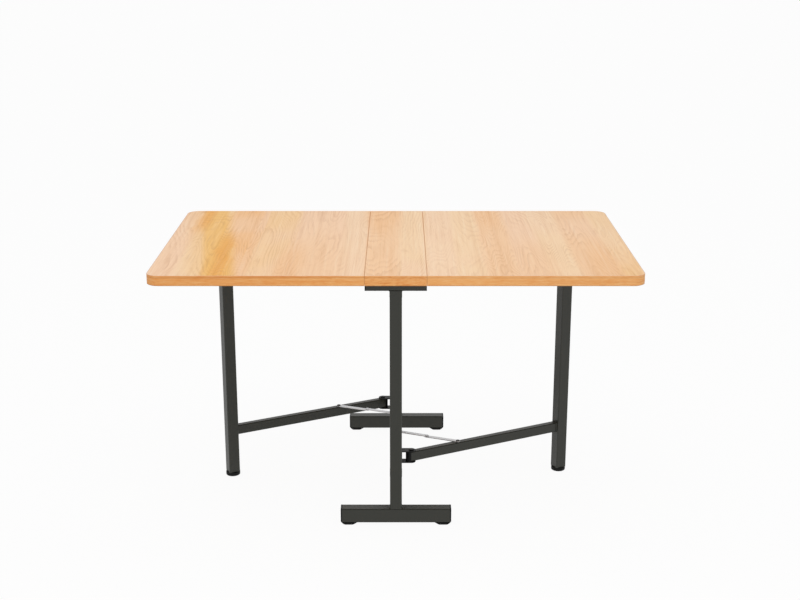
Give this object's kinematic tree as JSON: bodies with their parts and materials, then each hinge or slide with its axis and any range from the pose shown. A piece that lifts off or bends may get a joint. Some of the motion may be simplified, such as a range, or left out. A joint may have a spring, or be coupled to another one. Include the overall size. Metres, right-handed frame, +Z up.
{
  "type": "gateleg table",
  "caption": "Gateleg table: wooden top with two hinged leaves on a narrow steel frame, swing-out tube gates carrying the leaves, and folding stays that hold the gates open.",
  "frame": {"origin": "on the floor under the middle of the top", "axes": "+X along the table's length, -Y towards the front, +Z up"},
  "size_m": [1.36, 0.8, 0.75],
  "materials": {
    "wood_top": "satin pale honey wood",
    "wood_edge": "satin wood edge band",
    "frame_paint": "fine textured dark grey powder coat",
    "black_hardware": "black coated steel",
    "black_plastic": "moulded black plastic",
    "stay_steel": "zinc plated strip",
    "hinge_steel": "zinc plated"
  },
  "bodies": {
    "frame": {"centre_edge_bands": "wood_edge", "centre_hinge_screws": "hinge_steel", "centre_panel": "wood_top", "front_foot_beam": "frame_paint", "front_left_foot": "black_plastic", "front_post": "frame_paint", "front_right_foot": "black_plastic", "front_top_rail": "frame_paint", "left_hinge_centre_flaps": "hinge_steel", "left_hinge_pins": "hinge_steel", "left_lower_clevis": "black_hardware", "left_lower_pivot_pin": "black_hardware", "left_upper_clevis": "black_hardware", "left_upper_pivot_pin": "black_hardware", "lower_stretcher": "frame_paint", "rail_end_plugs": "black_plastic", "rail_screws": "hinge_steel", "rear_foot_beam": "frame_paint", "rear_left_foot": "black_plastic", "rear_post": "frame_paint", "rear_right_foot": "black_plastic", "rear_top_rail": "frame_paint", "right_hinge_centre_flaps": "hinge_steel", "right_hinge_pins": "hinge_steel", "right_lower_clevis": "black_hardware", "right_lower_pivot_pin": "black_hardware", "right_upper_clevis": "black_hardware", "right_upper_pivot_pin": "black_hardware", "stay_root_rivets": "black_hardware", "upper_stretcher": "frame_paint"},
    "left_leaf": {"left_hinge_leaf_flaps": "hinge_steel", "left_leaf": "wood_top", "left_leaf_edge_band": "wood_edge", "left_leaf_hinge_screws": "hinge_steel"},
    "left_gate": {"left_foot_glide": "black_plastic", "left_gate_leg": "frame_paint", "left_leg_cap": "black_plastic", "left_lower_bar": "frame_paint", "left_lower_bar_plug": "black_plastic", "left_stay_bar_rivet": "black_hardware", "left_upper_bar": "frame_paint", "left_upper_bar_plug": "black_plastic"},
    "left_stay_inner": {"left_stay_inner_link": "stay_steel"},
    "left_stay_outer": {"left_stay_outer_link": "stay_steel"},
    "right_leaf": {"right_hinge_leaf_flaps": "hinge_steel", "right_leaf": "wood_top", "right_leaf_edge_band": "wood_edge", "right_leaf_hinge_screws": "hinge_steel"},
    "right_gate": {"right_foot_glide": "black_plastic", "right_gate_leg": "frame_paint", "right_leg_cap": "black_plastic", "right_lower_bar": "frame_paint", "right_lower_bar_plug": "black_plastic", "right_stay_bar_rivet": "black_hardware", "right_upper_bar": "frame_paint", "right_upper_bar_plug": "black_plastic"},
    "right_stay_inner": {"right_stay_inner_link": "stay_steel"},
    "right_stay_outer": {"right_stay_outer_link": "stay_steel"}
  },
  "joints": [
    {"name": "left_leaf_lift", "type": "hinge", "parent": "frame", "child": "left_leaf", "pos_m": [-0.085, 0, 0.717], "axis": [0, 1, 0], "range_deg": [0, 0.7]},
    {"name": "left_gate_swing", "type": "hinge", "parent": "frame", "child": "left_gate", "pos_m": [-0.045, 0.219, 0.148], "axis": [0, 0, 1], "range_deg": [0, 63]},
    {"name": "left_stay_inner_turn", "type": "hinge", "parent": "frame", "child": "left_stay_inner", "pos_m": [0, 0.073, 0.1667], "axis": [0, 0, 1], "range_deg": [-39.7, 0]},
    {"name": "left_stay_outer_turn", "type": "hinge", "parent": "left_gate", "child": "left_stay_outer", "pos_m": [-0.18578, 0.14727, 0.1644], "axis": [0, 0, 1], "range_deg": [0, 50.2]},
    {"name": "right_leaf_lift", "type": "hinge", "parent": "frame", "child": "right_leaf", "pos_m": [0.085, 0, 0.717], "axis": [0, -1, 0], "range_deg": [0, 0.7]},
    {"name": "right_gate_swing", "type": "hinge", "parent": "frame", "child": "right_gate", "pos_m": [0.045, -0.219, 0.148], "axis": [0, 0, 1], "range_deg": [0, 63]},
    {"name": "right_stay_inner_turn", "type": "hinge", "parent": "frame", "child": "right_stay_inner", "pos_m": [0, -0.073, 0.1667], "axis": [0, 0, 1], "range_deg": [-39.7, 0]},
    {"name": "right_stay_outer_turn", "type": "hinge", "parent": "right_gate", "child": "right_stay_outer", "pos_m": [0.18578, -0.14727, 0.1644], "axis": [0, 0, 1], "range_deg": [0, 50.2]}
  ],
  "couplings": [
    {"joint": "left_stay_inner_turn", "follows": "left_gate_swing", "ratio": -0.6229},
    {"joint": "left_stay_outer_turn", "follows": "left_gate_swing", "ratio": 0.7887},
    {"joint": "right_stay_inner_turn", "follows": "right_gate_swing", "ratio": -0.6229},
    {"joint": "right_stay_outer_turn", "follows": "right_gate_swing", "ratio": 0.7887}
  ]
}
